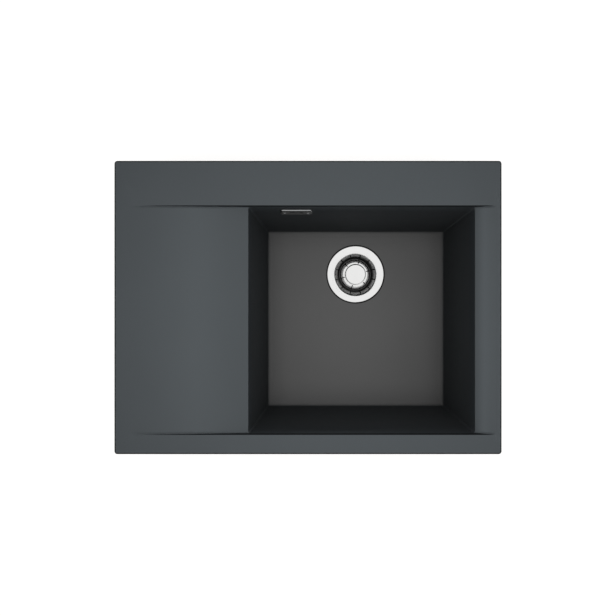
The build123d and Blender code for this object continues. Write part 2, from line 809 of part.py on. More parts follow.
hose_rib_count = int((hose_run - 2 * hose_cuff) // rib_pitch)
ribs_start = (hose_run - hose_rib_count * rib_pitch) / 2
crest_start = rib_flank_share * rib_pitch
crest_end = crest_start + rib_crest_share * rib_pitch
rib_end_at = crest_end + rib_flank_share * rib_pitch
rib_circles = ((0.0, hose_root), (crest_start, hose_crest), (crest_end, hose_crest), (rib_end_at, hose_root))
with BuildPart() as overflow_hose:
    # the tube and its ribs: one ruled loft through four circles for each rib
    with BuildSketch(hose_frame(0.0)):
        Circle(hose_root)
    for number in range(hose_rib_count):
        for along, radius in rib_circles:
            with BuildSketch(hose_frame(ribs_start + number * rib_pitch + along)):
                Circle(radius)
    with BuildSketch(hose_frame(hose_run)):
        Circle(hose_root)
    loft(ruled=True)
    # a collar at each mouth for the union nuts
    with BuildSketch(hose_frame(0.0)):
        Circle(collar_radius)
    extrude(amount=collar_thickness)
    with BuildSketch(hose_frame(hose_run)):
        Circle(collar_radius)
    extrude(amount=-collar_thickness)
    # the bore follows the whole route
    with BuildLine() as route:
        FilletPolyline(hose_top, hose_corner, hose_end, radius=hose_bend)
    with BuildSketch(hose_frame(0.0)):
        Circle(hose_bore)
    sweep(path=route.line, mode=Mode.SUBTRACT)

# spigot mouths, each facing its hose end
head_mouth = Plane(origin=(overflow_x, head_spigot_y, spigot_z), x_dir=hose_square, z_dir=(0, 0, -1))
inlet_union = Plane(origin=inlet_mouth, x_dir=hose_square, z_dir=inlet_way)
nut_stop = cone_ring_height + collar_thickness + nut_gap


# union nut: draws the hose's collar and its cone ring on to the spigot
def union_nut(mouth):
    with BuildPart() as nut:
        with BuildSketch(mouth.offset(nut_stop + nut_end - nut_length)):
            Circle(nut_radius - nut_grip_height)
            with PolarLocations(nut_radius - nut_grip_height, nut_grip_count):
                Rectangle(2 * nut_grip_height, nut_grip_width)
        extrude(amount=nut_length)
        with BuildSketch(mouth.offset(nut_stop + nut_end - nut_length)):
            Circle(spigot_radius + fit_gap)
        extrude(amount=nut_length - nut_end, mode=Mode.SUBTRACT)
        with BuildSketch(mouth.offset(nut_stop)):
            Circle(hose_root + nut_gap)
        extrude(amount=nut_end, mode=Mode.SUBTRACT)
    return nut.part


# cone ring between the spigot's mouth and the hose's collar
def cone_ring(mouth):
    with BuildPart() as ring:
        with BuildSketch(mouth):
            Circle(collar_radius)
        with BuildSketch(mouth.offset(cone_ring_height)):
            Circle(collar_radius - cone_ring_taper)
        loft()
        with BuildSketch(mouth):
            Circle(hose_bore)
        extrude(amount=cone_ring_height, mode=Mode.SUBTRACT)
    return ring.part


pieces = {
    "sink_body": sink_body.part,
    "rim_seal": rim_seal.part,
    "clip_inserts": clip_inserts.part,
    "clip_screws": clip_screws.part,
    **clip_parts,
    "waste_flange": waste_flange.part,
    "flange_gasket": flange_gasket.part,
    "waste_bolt": waste_bolt.part,
    "bolt_insert": bolt_insert.part,
    "waste_body": waste_body.part,
    "waste_tail": waste_tail.part,
    "body_gasket": body_gasket.part,
    "basket": basket.part,
    "basket_knob": basket_knob.part,
    "basket_stem": basket_stem.part,
    "basket_seal": basket_seal.part,
    "overflow_cover": overflow_cover.part,
    "overflow_screws": overflow_screws.part,
    "overflow_gasket": overflow_gasket.part,
    "overflow_head": overflow_head.part,
    "overflow_hose": overflow_hose.part,
    "hose_nut_upper": union_nut(head_mouth),
    "hose_nut_lower": union_nut(inlet_union),
    "hose_seal_upper": cone_ring(head_mouth),
    "hose_seal_lower": cone_ring(inlet_union),
}

os.makedirs("parts", exist_ok=True)
for name, piece in pieces.items():
    piece.label = name
    export_step(piece, f"parts/{name}.step")
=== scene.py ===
import json
import math

import bmesh
import bpy
import numpy as np
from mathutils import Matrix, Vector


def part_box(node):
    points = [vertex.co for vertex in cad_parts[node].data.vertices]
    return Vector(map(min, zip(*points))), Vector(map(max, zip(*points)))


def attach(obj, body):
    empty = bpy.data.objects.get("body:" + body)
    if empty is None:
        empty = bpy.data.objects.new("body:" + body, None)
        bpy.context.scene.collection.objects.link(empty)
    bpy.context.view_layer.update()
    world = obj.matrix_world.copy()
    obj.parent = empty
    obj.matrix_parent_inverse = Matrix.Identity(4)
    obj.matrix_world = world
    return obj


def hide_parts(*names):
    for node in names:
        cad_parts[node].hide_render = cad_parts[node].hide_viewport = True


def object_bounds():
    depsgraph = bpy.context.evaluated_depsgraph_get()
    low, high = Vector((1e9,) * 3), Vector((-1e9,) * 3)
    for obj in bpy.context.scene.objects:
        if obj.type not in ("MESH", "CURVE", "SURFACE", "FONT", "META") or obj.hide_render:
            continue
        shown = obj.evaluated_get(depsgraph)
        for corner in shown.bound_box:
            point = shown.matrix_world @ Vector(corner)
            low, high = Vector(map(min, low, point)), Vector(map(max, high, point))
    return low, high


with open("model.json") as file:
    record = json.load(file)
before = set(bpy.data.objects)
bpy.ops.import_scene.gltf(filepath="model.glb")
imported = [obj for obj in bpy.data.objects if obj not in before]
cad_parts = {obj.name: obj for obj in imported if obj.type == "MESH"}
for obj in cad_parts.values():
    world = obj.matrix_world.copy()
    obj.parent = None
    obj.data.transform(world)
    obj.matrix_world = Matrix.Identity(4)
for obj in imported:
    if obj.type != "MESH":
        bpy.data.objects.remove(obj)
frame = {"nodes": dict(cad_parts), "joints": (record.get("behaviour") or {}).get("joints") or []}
nodes = frame["nodes"]
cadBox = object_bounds()
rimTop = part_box("sink_body")[1].z
objectFoot = cadBox[0][2]
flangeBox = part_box("waste_flange")
wasteCentre = (flangeBox[0] + flangeBox[1]) / 2
print("frame loaded:", len(nodes), "nodes")


def addObject(name, data):
    # a new object round its mesh, lamp or camera, linked to the scene
    made = bpy.data.objects.new(name, data)
    bpy.context.scene.collection.objects.link(made)
    return made


class Wire:
    # a socket's value, so that shader maths reads as plain Python
    def __init__(self, sheet, socket):
        self.sheet = sheet
        self.socket = socket

    def combine(self, operation, first, second=0.0):
        return self.sheet.node("ShaderNodeMath", {"operation": operation}, {0: first, 1: second})

    def __add__(self, other):
        return self.combine("ADD", self, other)

    def __radd__(self, other):
        return self.combine("ADD", other, self)

    def __sub__(self, other):
        return self.combine("SUBTRACT", self, other)

    def __rsub__(self, other):
        return self.combine("SUBTRACT", other, self)

    def __mul__(self, other):
        return self.combine("MULTIPLY", self, other)

    def __rmul__(self, other):
        return self.combine("MULTIPLY", other, self)

    def __pow__(self, other):
        return self.combine("POWER", self, other)

    def __rpow__(self, other):
        return self.combine("POWER", other, self)

    def sine(self):
        return self.combine("SINE", self)

    def larger(self, other):
        return self.combine("MAXIMUM", self, other)

    def smoothBetween(self, low, high):
        # 0 below low, 1 above high, an S curve between
        settings = {"interpolation_type": "SMOOTHSTEP"}
        sockets = {"Value": self, "From Min": low, "From Max": high}
        return self.sheet.node("ShaderNodeMapRange", settings, sockets)


class NodeSheet:
    # a tree of nodes, to which every node of the script is added in the same way
    def __init__(self, tree):
        self.tree = tree

    def node(self, kind, settings=None, sockets=None, output=0):
        made = self.tree.nodes.new(kind)
        for key, value in (settings or {}).items():
            setattr(made, key, value)
        for key, value in (sockets or {}).items():
            self.connect(made.inputs[key], value)
        return Wire(self, made.outputs[output]) if len(made.outputs) else None

    def connect(self, socket, value):
        if isinstance(value, Wire):
            self.tree.links.new(value.socket, socket)
        else:
            socket.default_value = value


class Finish(NodeSheet):
    # one procedural material round a Principled shader; fixed values go straight on its sockets
    def __init__(self, name, **fixed):
        self.material = bpy.data.materials.new(name)
        self.material.use_nodes = True
        super().__init__(self.material.node_tree)
        self.shader = self.tree.nodes["Principled BSDF"]
        self.feed(**fixed)

    def feed(self, **values):
        for socket, value in values.items():
            self.connect(self.shader.inputs[socket.replace("_", " ")], value)
        return self.material

    def place(self, centre=(0, 0, 0)):
        # object coordinates, moved so that a pattern can be centred on its piece
        coordinates = self.node("ShaderNodeTexCoord", output="Object")
        shift = tuple(-c for c in centre)
        return self.node("ShaderNodeMapping", {}, {"Vector": coordinates, "Location": shift})

    def parts(self, vector):
        return [self.node("ShaderNodeSeparateXYZ", {}, {"Vector": vector}, output=axis) for axis in "XYZ"]

    def facing(self):
        # where the surface looks; the third part is 1 on a level top, 0 on a wall and -1 underneath
        return self.parts(self.node("ShaderNodeNewGeometry", output="True Normal"))

    def noise(self, vector, scale, detail=3.0, roughness=0.5):
        sockets = {"Vector": vector, "Scale": scale, "Detail": detail, "Roughness": roughness}
        return self.node("ShaderNodeTexNoise", {}, sockets, output="Fac")

    def cells(self, vector, scale):
        return self.node("ShaderNodeTexVoronoi", {}, {"Vector": vector, "Scale": scale}, output="Distance")

    def hollow(self, reach):
        # 1 in the open, less where walls stand within reach
        settings = {"samples": 8}
        return self.node("ShaderNodeAmbientOcclusion", settings, {"Distance": reach}, output="AO")

    def radius(self, x, y):
        return (x * x + y * y) ** 0.5

    def mix(self, factor, first, second):
        colours = [c if isinstance(c, Wire) else (*c, 1.0) for c in (first, second)]
        sockets = {0: factor, 6: colours[0], 7: colours[1]}
        return self.node("ShaderNodeMix", {"data_type": "RGBA"}, sockets, output=2)

    def scale(self, colour, amount):
        return self.node("ShaderNodeVectorMath", {"operation": "SCALE"}, {0: colour, "Scale": amount})

    def mixVectors(self, factor, first, second):
        sockets = {0: factor, 4: first, 5: second}
        return self.node("ShaderNodeMix", {"data_type": "VECTOR"}, sockets, output=1)

    def bump(self, height, distance, strength, under=None):
        sockets = {"Height": height, "Distance": distance, "Strength": strength}
        if under is not None:
            sockets["Normal"] = under
        return self.node("ShaderNodeBump", {}, sockets, output="Normal")

    def softEdges(self, radius):
        return self.node("ShaderNodeBevel", {"samples": 6}, {"Radius": radius}, output="Normal")


composite = {
    "deck": (0.0815, 0.0925, 0.1015),  # blue-grey of the drainboard and the ledges
    "bowl": (0.0868, 0.0885, 0.0906),  # the bowl reads more neutral
    "under": (0.0700, 0.0720, 0.0740),  # the raw underside
    "underFrom": (-0.16, -0.02),  # how far a face looks up where it stops being the underside
    "wallFrom": (0.1, 0.7),  # and where it stops being a wall
    "coolHeights": (-0.05, -0.012),  # the bowl's colour passes into the deck's between them
    "coolWalls": 0.7,
    "gloss": 0.01,
    "rough": 0.46,
    "roughPatch": 60.0,  # patches per metre
    "roughVaries": 0.14,
    "roughUnder": 0.22,
    "grain": 1500.0,  # quartz grains per metre
    "grainShare": 0.12,
    "cloud": 9.0,  # broad clouds per metre
    "cloudShare": 0.06,
    "mould": 420.0,  # the raw underside's texture per metre
    "mouldShare": 3.0,
    "grainRelief": 0.5,
    "skinDepth": 0.00008,
    "skinStrength": 0.5,
    "edge": 0.0006,
    "bowlMiddle": (0.092, -0.0215),
    "bowlFade": (-0.004, 0.004),  # heights between which the bowl's walls turn into low steps
    "outsideSoft": 0.02,
    "cornerReach": 0.16,  # how near a wall has to be to put painted shade on the surface beside it
    "cornerShadeShare": 0.37,
    "wallHeights": (-0.19, -0.04),
    "wallShadeShare": (0.50, 0.26),  # how much painted shade the bowl's walls get at those heights
    "stepShadeShare": 0.82,  # painted shade on the low steps beside the drainboard
    "creaseReach": 0.0035,  # how far the painted shade of a low step spreads
    "creaseShadeShare": 3.5,
    "grooveShadeShare": 0.8,  # painted shade in the narrow ring round the flange
    "grooveEdge": 0.0572,
    "grooveSoft": 0.0008,
    "sunkFade": (0.002, 0.0095),  # heights between which the sunk parts pass into the ledges
    # painted light: the sunk parts are painted this much lighter
    "sunkPaintedLight": 0.11,
    "rimLine": 0.0028,  # painted shade along the rounded outer edge
    "rimSoft": 0.0006,
    "rimShadeShare": 0.9,
    "paintedLightAt": (0.05, -0.02),  # painted light: the slab is painted palest here and darker towards its ends
    "paintedLightFall": 1.6,
    "floorShadeFall": 4.0,  # painted shade: the bowl's floor is painted darker faster to its left and right
}
look = Finish("compositeQuartz", Specular_IOR_Level=composite["gloss"])
spot = look.place()
x, y, z = look.parts(spot)
facingX, facingY, upward = look.facing()
below = 1 - upward.smoothBetween(*composite["underFrom"])
above = 1 - below
wall = (1 - upward.smoothBetween(*composite["wallFrom"])) * above
# faces that look away from the bowl's middle are its outside, which gets no painted shade
bowlX, bowlY = composite["bowlMiddle"]
outside = (x - bowlX) * facingX + (y - bowlY) * facingY
outside = outside.smoothBetween(0.0, composite["outsideSoft"])
outside = outside * (1 - z.smoothBetween(composite["bowlFade"][0], 0.0))
wall = wall * (1 - outside)
bowl = 1 - z.smoothBetween(*composite["bowlFade"])
# painted shade where walls stand near: in the bowl's corners, and in the creases of the low steps
corner = (1 - look.hollow(composite["cornerReach"])) * bowl
crease = (1 - look.hollow(composite["creaseReach"])) * (1 - bowl) * above
# painted shade in a narrow ring round the flange
fromWaste = look.radius(x - wasteCentre.x, y - wasteCentre.y)
grooveEdge = composite["grooveEdge"]
groove = (1 - fromWaste.smoothBetween(grooveEdge - composite["grooveSoft"], grooveEdge)) * bowl
# painted shade along the rounded outer edge
rimX, rimY = (cadBox[1][axis] - composite["rimLine"] for axis in (0, 1))
rim = (x * x).smoothBetween(rimX ** 2, (rimX + composite["rimSoft"]) ** 2)
rim = rim + (1 - rim) * (y * y).smoothBetween(rimY ** 2, (rimY + composite["rimSoft"]) ** 2)
# the tone starts at 1; grain and clouds shift it, the sunk parts get painted light, and every painted
# shade takes its share off
grain = look.cells(spot, composite["grain"])
cloud = look.noise(spot, composite["cloud"], detail=4.0, roughness=0.55)
paintedLightX, paintedLightY = composite["paintedLightAt"]
# painted light: the tone falls with the squared distance from that point, and faster sideways on the
# bowl's floor
sideways = (x - paintedLightX) * (x - paintedLightX)
away = sideways + (y - paintedLightY) * (y - paintedLightY)
tone = 1 + grain * composite["grainShare"] + (cloud - 0.5) * composite["cloudShare"]
tone = tone - away * composite["paintedLightFall"] - sideways * bowl * (1 - wall) * composite["floorShadeFall"]
tone = tone + (1 - z.smoothBetween(*composite["sunkFade"])) * (1 - bowl) * composite["sunkPaintedLight"]
# painted shade on the bowl's walls, passing into painted shade on the low steps
wallFoot, wallTop = composite["wallShadeShare"]
wallShadeShare = wallFoot + z.smoothBetween(*composite["wallHeights"]) * (wallTop - wallFoot)
wallShadeShare = composite["stepShadeShare"] + bowl * (wallShadeShare - composite["stepShadeShare"])
tone = tone * (1 - wall * wallShadeShare) * (1 - corner * above * composite["cornerShadeShare"])
tone = tone * (1 - groove * above * composite["grooveShadeShare"])
tone = tone * (1 - (crease * composite["creaseShadeShare"]).smoothBetween(0.0, 1.0))
tone = tone * (1 - rim * above * composite["rimShadeShare"])
cool = z.smoothBetween(*composite["coolHeights"])
cool = cool + (1 - cool) * wall * composite["coolWalls"]
hue = look.mix(cool, composite["bowl"], composite["deck"])
hue = look.mix(below, hue, composite["under"])
rough = composite["rough"] + look.noise(spot, composite["roughPatch"]) * composite["roughVaries"]
skin = look.noise(spot, composite["mould"], detail=2.0) * below * composite["mouldShare"]
skin = skin + grain * composite["grainRelief"]
softened = look.softEdges(composite["edge"])
skin = look.bump(skin, composite["skinDepth"], composite["skinStrength"], softened)
compositeLook = look.feed(
    Base_Color=look.scale(hue, tone),
    Roughness=rough + below * composite["roughUnder"],
    Normal=skin,
)

steel = {
    "bright": (0.82, 0.82, 0.815),
    "hollow": (0.04, 0.04, 0.04),  # painted shade deep between the walls, where hardly any light comes back
    "hollowReach": 0.03,
    "hollowSky": (0.38, 1.0),  # share of open sky where it is darkest, and where it is bright again
    "haze": 55.0,  # wiping marks per metre
    "hazeFrom": 0.96,
    "hazeShare": 0.06,
    "hazeRough": 0.04,
    "ringPitch": 0.0008,
    "ringDepth": 0.000004,
    "ringStrength": 0.35,
    "slopeFrom": (0.60, 0.99),  # how far a face looks up where it stops being a slope
    "slopeRough": 0.42,
    "crownReach": 0.0280,  # the painted shade leaves the crown bright down its side
    "crownSoft": 0.001,
    "crownShare": 0.9,
    "crownLean": 0.6,
    "seam": (0.0448, 0.0485),  # the polished step between the flange and the basket's lip, left out of the painted shade
    "seamSoft": 0.0004,
    "basketRough": 0.07,
    "flangeRough": 0.06,
}


def turnedSteel(name, rough):
    # fine turning rings round the waste's axis; painted shade darkens the metal in its hollows
    look = Finish(name, Metallic=1.0)
    spot = look.place(wasteCentre)
    x, y = look.parts(spot)[:2]
    away = look.radius(x, y)
    rings = (away * (2 * math.pi / steel["ringPitch"])).sine()
    haze = look.noise(spot, steel["haze"])
    seamInner, seamOuter = steel["seam"]
    seam = away.smoothBetween(seamInner, seamInner + steel["seamSoft"])
    seam = seam * (1 - away.smoothBetween(seamOuter - steel["seamSoft"], seamOuter))
    crownReach, crownSoft = steel["crownReach"], steel["crownSoft"]
    crown = 1 - away.smoothBetween(crownReach - crownSoft, crownReach + crownSoft)
    # painted shade: the colour runs towards the hollow colour where walls hide the sky
    lit = look.hollow(steel["hollowReach"]).smoothBetween(*steel["hollowSky"])
    lit = lit + (1 - lit) * (seam + crown * steel["crownShare"])
    slope = (1 - look.facing()[2].smoothBetween(*steel["slopeFrom"])) * (1 - seam)
    bright = look.scale(steel["bright"], steel["hazeFrom"] + haze * steel["hazeShare"])
    skin = look.bump(rings, steel["ringDepth"], steel["ringStrength"])
    # burnished edges catch the light from above, so the shading leans to level there
    skin = look.mixVectors(seam + crown * slope * steel["crownLean"], skin, (0, 0, 1))
    return look.feed(
        Base_Color=look.mix(lit, steel["hollow"], bright),
        Roughness=rough + haze * steel["hazeRough"] + slope * steel["slopeRough"],
        Normal=skin,
    )


basketSteel = turnedSteel("turnedSteel", steel["basketRough"])
flangeSteel = turnedSteel("flangeSteel", steel["flangeRough"])

zinc = {
    "dark": (0.50, 0.505, 0.51),
    "pale": (0.66, 0.665, 0.66),
    "spangle": 130.0,  # patches per metre
    "rough": 0.30,
    "roughPatch": 240.0,
    "roughVaries": 0.22,
    "skinPatch": 900.0,
    "skinDepth": 0.00003,
    "skinStrength": 0.4,
    "edge": 0.0005,
}
look = Finish("zincPlate", Metallic=1.0)
spot = look.place()
skin = look.noise(spot, zinc["skinPatch"])
zincLook = look.feed(
    Base_Color=look.mix(look.noise(spot, zinc["spangle"], detail=4.0), zinc["dark"], zinc["pale"]),
    Roughness=zinc["rough"] + look.noise(spot, zinc["roughPatch"]) * zinc["roughVaries"],
    Normal=look.bump(skin, zinc["skinDepth"], zinc["skinStrength"], look.softEdges(zinc["edge"])),
)

brass = {
    "dark": (0.62, 0.44, 0.19),
    "pale": (0.74, 0.57, 0.28),
    "patch": 300.0,  # patches per metre
    "rough": 0.25,
    "roughPatch": 500.0,
    "roughVaries": 0.15,
}
look = Finish("turnedBrass", Metallic=1.0)
spot = look.place()
brassLook = look.feed(
    Base_Color=look.mix(look.noise(spot, brass["patch"]), brass["dark"], brass["pale"]),
    Roughness=brass["rough"] + look.noise(spot, brass["roughPatch"]) * brass["roughVaries"],
)

mouldings = {
    "cloud": 24.0,  # patches per metre
    "roughPatch": 80.0,
    "roughVaries": 0.12,
    "skinStrength": 0.5,
}


def moulded(name, kind):
    # moulded plastic or rubber: faint clouding, a sparked mould texture and soft edges
    look = Finish(name)
    spot = look.place()
    cloud = look.noise(spot, mouldings["cloud"], detail=4.0)
    skin = look.noise(spot, kind["texture"], detail=2.0)
    return look.feed(
        Base_Color=look.mix(cloud, kind["dark"], kind["light"]),
        Roughness=kind["rough"] + look.noise(spot, mouldings["roughPatch"]) * mouldings["roughVaries"],
        Normal=look.bump(skin, kind["depth"], mouldings["skinStrength"], look.softEdges(kind["edge"])),
    )


whitePlastic = moulded("mouldedWhite", {
    "light": (0.78, 0.78, 0.76),
    "dark": (0.72, 0.72, 0.70),
    "rough": 0.38,
    "texture": 2600.0,  # grains per metre
    "depth": 0.00003,
    "edge": 0.0006,
})
greyPlastic = moulded("hoseGrey", {
    "light": (0.46, 0.47, 0.48),
    "dark": (0.38, 0.39, 0.40),
    "rough": 0.42,
    "texture": 1800.0,
    "depth": 0.00003,
    "edge": 0.0004,
})
blackRubber = moulded("blackRubber", {
    "light": (0.035, 0.035, 0.036),
    "dark": (0.02, 0.02, 0.02),
    "rough": 0.62,
    "texture": 1500.0,
    "depth": 0.00005,
    "edge": 0.0004,
})
foamLook = moulded("cellFoam", {
    "light": (0.05, 0.05, 0.05),
    "dark": (0.02, 0.02, 0.02),
    "rough": 0.82,
    "texture": 1400.0,
    "depth": 0.0004,
    "edge": 0.0004,
})
print("finishes made")

weldReach = 0.000001  # points nearer than this are one


def gridFaces(rows, columns, closeRows):
    # quads between neighbouring rows and columns; the columns always run round and join up
    row = np.arange(rows if closeRows else rows - 1)[:, None]
    column = np.arange(columns)[None, :]
    nextRow = (row + 1) % rows
    nextColumn = (column + 1) % columns
    corners = (row * columns + column, row * columns + nextColumn)
    corners += (nextRow * columns + nextColumn, nextRow * columns + column)
    return np.stack(corners, axis=-1).reshape(-1, 4)


def outwards(points, faces):
    # a closed shell whose signed volume is negative has its faces turned round
    first, second, third, fourth = (points[faces[:, corner]] for corner in range(4))
    volume = np.einsum("ij,ij->", first, np.cross(second, third))
    volume += np.einsum("ij,ij->", first, np.cross(third, fourth))
    return faces if volume > 0 else faces[:, ::-1]


def shellPiece(name, shells, material, body, replaced=None, sharp=38.0):
    # each shell is (points on a grid, whether its rows close); poles and doubles are merged
    allPoints, allFaces, start = [], [], 0
    for grid, closeRows in shells:
        flat = grid.reshape(-1, 3)
        allPoints.append(flat)
        allFaces.append(outwards(flat, gridFaces(*grid.shape[:2], closeRows)) + start)
        start += len(flat)
    mesh = bpy.data.meshes.new(name)
    mesh.from_pydata(np.concatenate(allPoints).tolist(), [], np.concatenate(allFaces).tolist())
    built = bmesh.new()
    built.from_mesh(mesh)
    bmesh.ops.remove_doubles(built, verts=built.verts, dist=weldReach)
    built.to_mesh(mesh)
    built.free()
    mesh.polygons.foreach_set("use_smooth", np.ones(len(mesh.polygons), bool))
    mesh.set_sharp_from_angle(angle=math.radians(sharp))
    mesh.materials.append(material)
    piece = addObject(name, mesh)
    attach(piece, body)
    if replaced:
        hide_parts(replaced)
    print("made", name, len(mesh.polygons), "faces")


def roundedLine(corners, radii, steps=7):
    # every inner corner of the line becomes an arc that touches both of its sides
    corner = np.array(corners, float)
    inner, radius = corner[1:-1], np.array(radii, float)[:, None]
    back, onward = corner[:-2] - inner, corner[2:] - inner
    back /= np.linalg.norm(back, axis=1, keepdims=True)
    onward /= np.linalg.norm(onward, axis=1, keepdims=True)
    half = np.arccos(np.clip((back * onward).sum(axis=1, keepdims=True), -1, 1)) / 2
    reach = radius / np.tan(half)
    middle = inner + (back + onward) / (2 * np.cos(half)) * radius / np.sin(half)
    start, end = inner + back * reach - middle, inner + onward * reach - middle
    sweep = (math.pi - 2 * half)[:, None]
    share = np.linspace(0, 1, steps)[None, :, None]
    arc = np.sin((1 - share) * sweep) * start[:, None] + np.sin(share * sweep) * end[:, None]
    arc = middle[:, None] + arc / np.sin(sweep)
    return np.concatenate([corner[:1], arc.reshape(-1, 2), corner[-1:]])


def circle(sides):
    # angles of a full turn, without the last, which is the first again
    return np.linspace(0, 2 * math.pi, sides, endpoint=False)[None, :]


def turned(radius, height, axis, turn):
    # a point at each angle: the radius sweeps round an upright axis at its height
    x = axis[0] + radius * np.cos(turn)
    y = axis[1] + radius * np.sin(turn)
    z = axis[2] + height + 0 * turn
    return np.stack(np.broadcast_arrays(x, y, z), axis=-1)


def faded(place, start, end, runs):
    # 0 at both ends, rising to 1 over the first run and falling over the second
    return np.clip((place - start) / runs[0], 0, 1) * np.clip((end - place) / runs[1], 0, 1)


# the knob: a line from the bore over the rim to the dish, turned about the axis
knob = {
    "edge": 0.020,
    "top": 0.004,  # above the bowl's floor
    "underEdge": -0.001,
    "underNeck": 0.0015,
    "neck": 0.009,
    "foot": -0.0065,
    "bore": 0.00405,
    "boreTop": 0.0015,
    "dishRadius": 0.0152,
    "dishSlope": 0.0012,
    "dishDepth": 0.00022,
    "dishSag": 1.3,  # times the depth, in the middle
    "rounds": (0.0003, 0.0002, 0.0002, 0.0012, 0.0008, 0.0026, 0.001, 0.001),
    "sides": 96,
}
wasteFloor = (wasteCentre.x, wasteCentre.y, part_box("basket_knob")[1].z - knob["top"])
line = roundedLine(
    [
        (0.0, knob["boreTop"]),
        (knob["bore"], knob["boreTop"]),
        (knob["bore"], knob["foot"]),
        (knob["neck"], knob["foot"]),
        (knob["neck"], knob["underNeck"]),
        (knob["edge"], knob["underEdge"]),
        (knob["edge"], knob["top"]),
        (knob["dishRadius"], knob["top"]),
        (knob["dishRadius"] - knob["dishSlope"], knob["top"] - knob["dishDepth"]),
        (0.0, knob["top"] - knob["dishDepth"] * knob["dishSag"]),
    ],
    knob["rounds"],
)
grid = turned(line[:, :1], line[:, 1:], wasteFloor, circle(knob["sides"]))
shellPiece("knob", [(grid, False)], basketSteel, "strainer", "basket_knob")

# clip screws: hex heads down, a rolled thread up to the inserts
screw = {
    "core": 0.00162,
    "crest": 0.00198,
    "pitch": 0.0007,
    "perTurn": 5,
    "headHeight": 0.003,
    "acrossFlats": 0.00346,  # from the axis to a flat
    "chamfer": 0.0005,
    "sides": 24,
}
screwFoot, screwTop = (corner.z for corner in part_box("clip_screws"))
headTop = screwFoot + screw["headHeight"]
turn = circle(screw["sides"])
hexagon = screw["acrossFlats"] / np.cos(np.mod(turn, math.pi / 3) - math.pi / 6)
bevelled = np.minimum(hexagon, screw["acrossFlats"])
rise = np.arange(headTop, screwTop, screw["pitch"] / screw["perTurn"])[:, None]
# radius = core + depth x (1 + cosine of turns of height less the angle) / 2, dying out at both ends
wave = 0.5 + 0.5 * np.cos(2 * math.pi * (rise - headTop) / screw["pitch"] - turn)
fade = faded(rise, headTop, screwTop, (screw["pitch"], screw["pitch"]))
thread = screw["core"] + (screw["crest"] - screw["core"]) * wave * fade
headLevels = [screwFoot, screwFoot, screwFoot + screw["chamfer"], headTop - screw["chamfer"], headTop]
levels = np.concatenate([np.array(headLevels)[:, None], rise, [[screwTop], [screwTop]]])
radius = np.concatenate([0 * turn, bevelled, hexagon, hexagon, bevelled, thread])
radius = np.concatenate([radius, 0 * turn + screw["core"], 0 * turn])
places = [joint["pos_m"] for joint in frame["joints"] if joint["type"] == "hinge"]
shells = [(turned(radius, levels, (place[0], place[1], 0), turn), False) for place in places]
shellPiece("clipScrews", shells, zincLook, "sink", "clip_screws", sharp=50.0)

# overflow hose: from under the chamber straight down, one bend, straight in to the waste body
hose = {
    "root": 0.0110,
    "crest": 0.0135,
    "bore": 0.0095,
    "bend": 0.065,
    "pitch": 0.004,
    "cuff": 0.027,  # unribbed from each mouth
    "collar": 0.0128,
    "collarLength": 0.002,
    "collarRounds": (0.0004, 0.0004, 0.0003),
    "endReach": 0.069,  # from the waste's axis to the hose's lower mouth
    "ribHardness": 1.9,
    "ribWidth": 0.15,
    "ribShift": 0.4,  # of a pitch, from the cuff to the first crest
    "ribFade": 2.5,  # how fast the end ribs reach their full height
    "perRib": 12,
    "boreRows": 60,
    "sides": 56,
}
sealUpper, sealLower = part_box("hose_seal_upper"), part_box("hose_seal_lower")
hoseTop = [(sealUpper[0][axis] + sealUpper[1][axis]) / 2 for axis in (0, 1)]
hoseTop = np.array([*hoseTop, sealUpper[0].z])
hoseLevel = (sealLower[0].z + sealLower[1].z) / 2
inletWay = np.array([hoseTop[0] - wasteFloor[0], hoseTop[1] - wasteFloor[1], 0.0])
inletRun = np.linalg.norm(inletWay)
inletWay /= inletRun
dropRun = hoseTop[2] - hoseLevel - hose["bend"]
bendRun = hose["bend"] * math.pi / 2
levelRun = inletRun - hose["endReach"] - hose["bend"]
hoseRun = dropRun + bendRun + levelRun
upright = np.array([0.0, 0.0, 1.0])
hoseSquare = np.array([-inletWay[1], inletWay[0], 0.0])


def alongHose(distance, radius, turn):
    # the route at a distance from the top: a drop, a quarter circle, a level run; a circle square to it
    bent = np.clip((distance - dropRun) / hose["bend"], 0, math.pi / 2)
    sideways = hose["bend"] * (1 - np.cos(bent)) + np.maximum(distance - dropRun - bendRun, 0)
    sunk = np.minimum(distance, dropRun) + hose["bend"] * np.sin(bent)
    centre = hoseTop - inletWay * sideways[..., None] - upright * sunk[..., None]
    way = -upright * np.cos(bent)[..., None] - inletWay * np.sin(bent)[..., None]
    up = np.cross(way, hoseSquare)
    spoke = hoseSquare * np.cos(turn)[..., None] + up * np.sin(turn)[..., None]
    return centre + radius[..., None] * spoke


ribCount = int((hoseRun - 2 * hose["cuff"]) // hose["pitch"])
ribsStart = (hoseRun - ribCount * hose["pitch"]) / 2
along = np.linspace(0, ribCount, ribCount * hose["perRib"] + 1)
